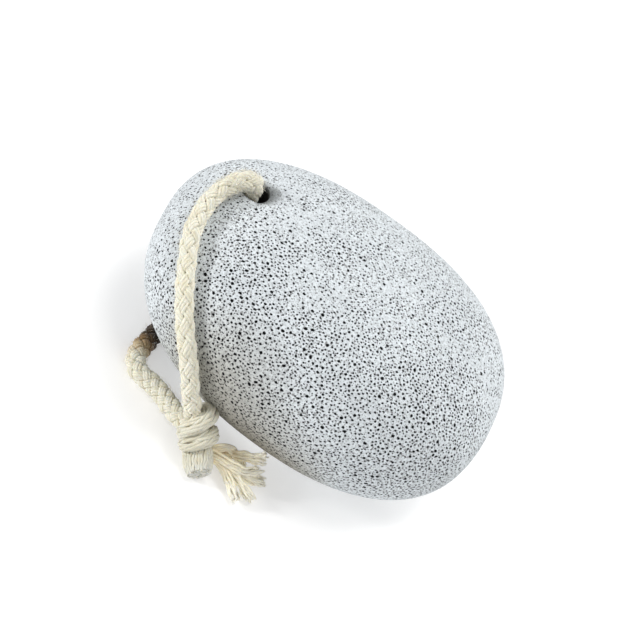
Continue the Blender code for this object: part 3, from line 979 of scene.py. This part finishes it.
def cotton_material(name, colours):
    """Soft cotton yarn with streaks of fibre along it.

    The attribute "pale" is 0 where the yarn is darkest with painted shade, one half where it has
    none, and 1 where its ends are palest.
    """
    light, dark, paler_ends = colours
    n = Nodes(name)
    place = n.add("ShaderNodeAttribute", {"attribute_name": "fibre"}).outputs["Vector"]
    streaks = n.add("ShaderNodeTexNoise", Vector=place, Scale=2.6, Detail=5.0, Roughness=0.65)
    patches = n.add("ShaderNodeTexNoise", Vector=place, Scale=0.35, Detail=2.0)
    fibres = n.ramp(streaks.outputs["Fac"], ((0.28, dark), (0.60, light)))
    yellowed = n.ramp(patches.outputs["Fac"], ((0.42, grey(1.0)), (0.75, (0.90, 0.86, 0.76))))
    colour = n.mix(0.8, fibres, yellowed, "MULTIPLY")
    paleness = n.add("ShaderNodeAttribute", {"attribute_name": "pale"}).outputs["Fac"]
    # above one half the yarn fades to its paler end colour
    fade = n.ramp(paleness, ((0.55, grey(0.0)), (1.0, grey(1.0))))
    colour = n.mix(fade, colour, (*paler_ends, 1.0))
    # painted shade: a low paleness tints the yarn brown, under the stone, in the cores seen between
    # the yarns and at the frayed roots
    colour = n.mix(1.0, colour, n.ramp(paleness, SHADE_TINTS), "MULTIPLY")
    fibre_height = streaks.outputs["Fac"]
    bump = n.add("ShaderNodeBump", Strength=0.6, Distance=0.12 * MM, Height=fibre_height)
    n.plug_all(
        n.shader, Base_Color=colour, Roughness=0.92, Specular_IOR_Level=0.2,
        Sheen_Weight=0.3, Sheen_Roughness=0.5, Subsurface_Weight=0.35,
        Subsurface_Radius=(1.0, 0.8, 0.55), Subsurface_Scale=0.6 * MM,
        Normal=bump.outputs["Normal"],
    )
    return n.material


# ---- Making the cord's pieces ----

def make_upper_cord(material):
    """The strand over the stone. Its route is given back too."""
    random = np.random.default_rng(UPPER_SEED)
    route = smooth_route(UPPER_ROUTE + UPPER_TUCK, STEP)
    strands = Strands()
    braid(strands, route, UPPER_HALF, UPPER_LAY, random, UPPER_WEAVE)
    # the core, seen between the yarns, is darkened as painted shade
    strands.add(route, UPPER_FILLING, FILLING_SIDES, seed=3, paleness=0.25)
    cord = strands.make("upper_braid", material)
    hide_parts("upper_cord")
    return cord, route


def make_lower_cord(material):
    """The strand under the stone, painted dark with the stone's shadow by the stone, and looser out
    from it.
    """
    random = np.random.default_rng(LOWER_SEED)
    route = smooth_route(LOWER_ROUTE + LOWER_TUCK, STEP)
    out = np.clip((-route[:, 1] - OUT_FROM) / OUT_OVER, 0.0, 1.0)
    # painted shadow of the stone: 0 by the stone, 1 from where the strand is out of it
    unshaded = np.clip((-route[:, 1] - UNDER_STONE_SHADE_FROM) / (UNDER_STONE_SHADE_TO - UNDER_STONE_SHADE_FROM), 0.0, 1.0) ** 0.7
    half = [LOWER_HALF + spread * out for spread in LOWER_SPREAD]
    strands = Strands()
    braid(strands, route, half, LOWER_LAY, random, LOWER_WEAVE, paleness=PLAIN_PALENESS * unshaded)
    filling = LOWER_FILLING + LOWER_FILLING_SPREAD * out
    # the core, seen between the yarns, is darker still as painted shade
    strands.add(route, filling, FILLING_SIDES, seed=4, paleness=0.6 * PLAIN_PALENESS * unshaded)
    cord = strands.make("lower_braid", material)
    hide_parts("lower_cord")
    return cord, route


def knot_frame():
    """The knot's axis, the picture's right across it, and its side towards the viewer."""
    right, _up, back = camera_axes()
    axis = Vector(KNOT_AXIS).normalized()
    facing = (back - axis * back.dot(axis)).normalized()
    rightwards = facing.cross(axis)
    if rightwards.dot(right) < 0.0:
        rightwards = -rightwards
    return np.array(axis), np.array(rightwards), np.array(facing)


def ease(line):
    """The same line with its corners rounded off."""
    for _round in range(4):
        line[1:-1] = 0.25 * line[:-2] + 0.5 * line[1:-1] + 0.25 * line[2:]
    return line


def make_knot(material):
    """The wraps of the knot, and the two strands' run through them as one core."""
    random = np.random.default_rng(KNOT_SEED)
    axis, rightwards, facing = knot_frame()
    turns = np.linspace(KNOT_TURNS[0][0], KNOT_TURNS[-1][0], 48)
    knots = np.array(KNOT_TURNS).T
    rise = np.interp(turns, knots[0], knots[1]) * MM
    reach = np.interp(turns, knots[0], knots[2]) * MM
    angle = 2.0 * math.pi * turns
    line = np.array(KNOT_LOOK) + axis * rise[:, None]
    line += rightwards * (reach * np.cos(angle))[:, None]
    line += facing * (reach * np.sin(angle))[:, None] * KNOT_DEPTH
    route = smooth_route(ease(line), STEP)
    strands = Strands()
    braid(strands, route, KNOT_HALF, KNOT_LAY, random, KNOT_WEAVE, KNOT_YARN_RADIUS, tuple(axis))
    # the core, seen between the yarns, is darkened as painted shade
    strands.add(route, KNOT_FILLING, FILLING_SIDES, seed=5, paleness=0.3)
    core = np.array(KNOT_LOOK) + axis * np.linspace(*CORE_ENDS, 24)[:, None]
    braid(strands, core, CORE_HALF, CORE_LAY, random, CORE_WEAVE)
    # the core, seen between the yarns, is darkened as painted shade
    strands.add(core, CORE_FILLING, sides=12, seed=6, paleness=0.3)
    knot = strands.make("knot_braid", material)
    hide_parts("knot")
    return knot


def make_cut_end(material):
    """The short end: rings of yarns, one in another, all cut off at nearly one length."""
    random = np.random.default_rng(STUB_SEED)
    route = smooth_route(CUT_END_ROUTE, STEP)
    count = len(route)
    along = np.linspace(0.0, 1.0, count)
    half = STUB_HALF + STUB_SWELL * np.sin(2.4 * along) - STUB_TAPER * along ** 3
    sides, ups = moving_frames(route)
    strands = Strands()
    for yarns, reach in STUB_RINGS:
        for yarn in range(yarns):
            angle = 2.0 * math.pi * yarn / yarns + STUB_TURN * along
            angle = angle + wander(random, count, waves=3, size=0.07)
            out = half * reach + wander(random, count, waves=4, size=0.09 * MM)
            across = (out * np.cos(angle))[:, None]
            up = (STUB_FLATNESS * out * np.sin(angle))[:, None]
            stop = count - random.integers(0, 2)
            line = (route + sides * across + ups * up)[:stop]
            paleness = PLAIN_PALENESS + 0.4 * along[:stop] ** 3
            seed = random.integers(1, SEEDS)
            strands.add(line, STUB_YARN_RADIUS, YARN_SIDES, seed, STUB_TWIST, paleness)
            add_fray(strands, line, random, *STUB_FRAY)
    strands.add(route[:-2], STUB_FILLING, sides=12, seed=7)
    stub = strands.make("cut_yarns", material)
    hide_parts("cut_end")
    return stub


def make_frayed_end(material):
    """The unbraided end: bundles of loose yarns, each with fibres at its tip."""
    random = np.random.default_rng(FRAY_SEED)
    strands = Strands()
    for _name, yarns, root_pale, root_width, tip_width, half_thickness, points in BUNDLES:
        middle = smooth_route(points, LOOSE_STEP)
        count = len(middle)
        along = np.linspace(0.0, 1.0, count)
        tangents = unit(np.gradient(middle, axis=0))
        across = unit(np.cross(tangents, knot_frame()[2]))
        upwards = np.cross(across, tangents)
        half_width = root_width + (tip_width - root_width) * along ** 1.3
        for yarn in range(yarns):
            spot = (yarn + 0.5) / yarns * 2.0 - 1.0
            height = random.uniform(-1.0, 1.0)
            stray = wander(random, count, *LOOSE_STRAY) * along ** 0.5
            sideways = spot * half_width + stray
            stray = wander(random, count, *LOOSE_LIFT) * along ** 0.5
            lift = height * half_thickness + stray
            line = middle + across * sideways[:, None] + upwards * lift[:, None]
            stop = count - random.integers(0, max(2, count // 8))
            line = line[:stop]
            radii = np.interp(along[:stop] / along[stop - 1], (0.75, 1.0), LOOSE_YARN_RADII)
            # painted shade between the yarns at the root, and painted light towards the tips
            paleness = root_pale + (1.0 - root_pale) * along[:stop] ** 0.8
            seed = random.integers(1, SEEDS)
            strands.add(line, radii, YARN_SIDES, seed, LOOSE_TWIST, paleness)
            add_fray(strands, line, random, *LOOSE_FRAY)
    frayed = strands.make("frayed_yarns", material)
    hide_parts("frayed_end")
    return frayed


def add_fray(strands, line, random, fibres, reach):
    """Fine fibres that spread from the last part of a yarn."""
    heading = unit(line[-1] - line[-4])
    for _fibre in range(fibres):
        start = line[-random.integers(2, 6)] + random.normal(size=3) * 0.12 * MM
        length = random.uniform(0.3, 1.1) * reach * MM
        aim = unit(heading + random.normal(size=3) * 0.15)
        bow = random.normal(size=3) * 0.12 * MM
        t = np.linspace(0.0, 1.0, 5)[:, None]
        path = start + aim * t * length + bow * np.sin(t * math.pi)
        radii = np.linspace(0.10, 0.04, 5) * MM
        # painted light: the fine fibres get the palest colour, standing in for light on them
        strands.add(path, radii, 4, random.integers(1, SEEDS), paleness=1.0)


def make_fuzz(routes, material):
    """Short loose fibres that stand off the cord.

    routes gives a line, how far the fibres start from it, and its share of them.
    """
    random = np.random.default_rng(FUZZ_SEED)
    hairs = Strands()
    for route, radius, share in routes:
        sides, ups = moving_frames(route)
        for _hair in range(round(FUZZ_FIBRES * share)):
            index = random.integers(2, len(route) - 2)
            angle = random.uniform(0.0, 2.0 * math.pi)
            outward = sides[index] * math.cos(angle) + ups[index] * math.sin(angle)
            along = unit(route[index + 1] - route[index - 1]) * random.choice((-1.0, 1.0))
            start = route[index] + outward * radius
            length = random.uniform(0.6, 1.9) * MM
            aim = unit(outward * random.uniform(0.15, 0.8) + along + random.normal(size=3) * 0.4)
            t = np.linspace(0.0, 1.0, 5)[:, None]
            curl = outward * random.uniform(-0.5, 0.2) * length * t ** 2
            path = start + aim * t * length + curl
            hairs.add(path, np.linspace(0.036, 0.014, 5) * MM, 3, random.integers(1, SEEDS))
    return hairs.make("fuzz", material)


# ---- Making the room and the light ----

def add_light(name, energy, size, place):
    """A round soft light that faces the stone."""
    data = bpy.data.lights.new(name, "AREA")
    data.shape = "DISK"
    data.size = size
    data.energy = energy
    light = add_object(name, data)
    light.location = place
    aim = Vector(LIGHT_AIM) - Vector(place)
    light.rotation_mode = "QUATERNION"
    light.rotation_quaternion = aim.to_track_quat("-Z", "Y")


def make_floor():
    """A pale floor that glows a little, so that it is nearly white as in the photo."""
    n = Nodes("floor")
    place = n.add("ShaderNodeTexCoord").outputs["Object"]
    mottle = n.add("ShaderNodeTexNoise", Vector=place, Scale=30.0, Detail=2.0)
    tone = n.ramp(mottle.outputs["Fac"], ((0.3, grey(0.63)), (0.7, grey(0.65))))
    n.plug_all(
        n.shader, Base_Color=tone, Roughness=0.95,
        Emission_Color=(1.0, 1.0, 1.0, 1.0), Emission_Strength=FLOOR_GLOW,
    )
    mesh = bpy.data.meshes.new("floor")
    corners = [(x * FLOOR_HALF, y * FLOOR_HALF, 0) for x, y in ((-1, -1), (1, -1), (1, 1), (-1, 1))]
    mesh.from_pydata(corners, [], [(0, 1, 2, 3)])
    mesh.materials.append(n.material)
    floor = add_object("floor", mesh)


def make_studio():
    """White surroundings and the soft lights."""
    world = bpy.data.worlds.new("studio")
    world.use_nodes = True
    background = world.node_tree.nodes["Background"]
    background.inputs["Color"].default_value = (1.0, 1.0, 1.0, 1.0)
    background.inputs["Strength"].default_value = WORLD_STRENGTH
    bpy.context.scene.world = world
    bpy.context.scene.view_settings.view_transform = "Standard"
    for light in LIGHTS:
        add_light(*light)


def declare_cord(route):
    """Works out how long a strand is along its route; the length is not used."""
    run_lengths(route)[-1]


# ---- All together ----

def main():
    make_camera()
    cream = cotton_material("cotton", CREAM)
    # the knot and the cut end take a darker copy: wear, and painted shade
    worn_and_shaded = cotton_material("worn_and_shaded_cotton", WORN_AND_SHADED)
    upper, upper_line = make_upper_cord(cream)
    lower, lower_line = make_lower_cord(cream)
    knot = make_knot(worn_and_shaded)
    stub = make_cut_end(worn_and_shaded)
    # the frayed end takes a warmer copy, lightened as painted light
    frayed = make_frayed_end(cotton_material("warm_and_lit_cotton", WARM_AND_LIT))
    fuzz = make_fuzz((
        (upper_line[BY_THE_HOLE], 2.4 * MM, 0.4),
        (upper_line[PAST_THE_HOLE], 2.4 * MM, 0.4),
        (lower_line[PAST_THE_HOLE], 2.8 * MM, 0.2),
    ), cream)
    declare_cord(upper_line)
    declare_cord(lower_line)
    make_stone()
    make_floor()
    make_studio()


main()
